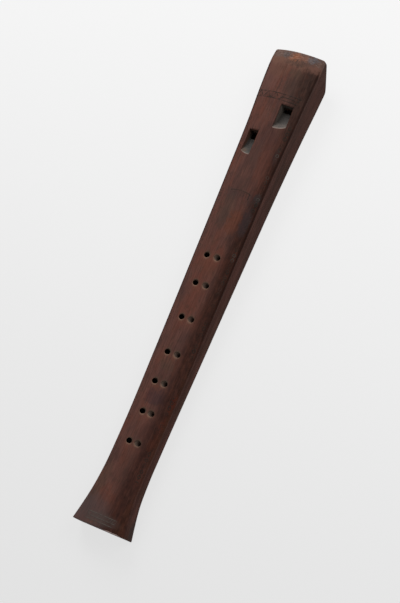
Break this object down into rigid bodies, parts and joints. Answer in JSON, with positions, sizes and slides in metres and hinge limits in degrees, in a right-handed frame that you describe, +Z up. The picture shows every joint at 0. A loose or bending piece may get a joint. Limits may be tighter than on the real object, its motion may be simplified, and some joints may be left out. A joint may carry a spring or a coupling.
{
  "type": "double flute",
  "caption": "One-piece wooden duct flute with parallel bores side by side, slanted mouth end, ramped windows, paired finger holes and a flared foot.",
  "frame": {"origin": "on the flat back, under the middle of the flute's length", "axes": "+Y along the flute towards the mouth end, +Z up through the arched front with the finger holes, +X to the right seen from the front with the mouth end up, the side of the longer pipe"},
  "size_m": [0.0466, 0.393, 0.03],
  "materials": {
    "body": "satin, worn by handling",
    "long_pipe_block": "dull, unvarnished",
    "short_pipe_block": "dull, unvarnished"
  },
  "bodies": {
    "flute_body": {"body": "body"},
    "long_block": {"long_pipe_block": "long_pipe_block"},
    "short_block": {"short_pipe_block": "short_pipe_block"}
  },
  "joints": [
    {"name": "long_pipe_block_slide", "type": "slide", "parent": "flute_body", "child": "long_block", "axis": [0, 0.9997, 0.0224], "range_m": [0, 0.0441]},
    {"name": "short_pipe_block_slide", "type": "slide", "parent": "flute_body", "child": "short_block", "axis": [0, 0.9997, 0.0224], "range_m": [0, 0.0689]}
  ]
}
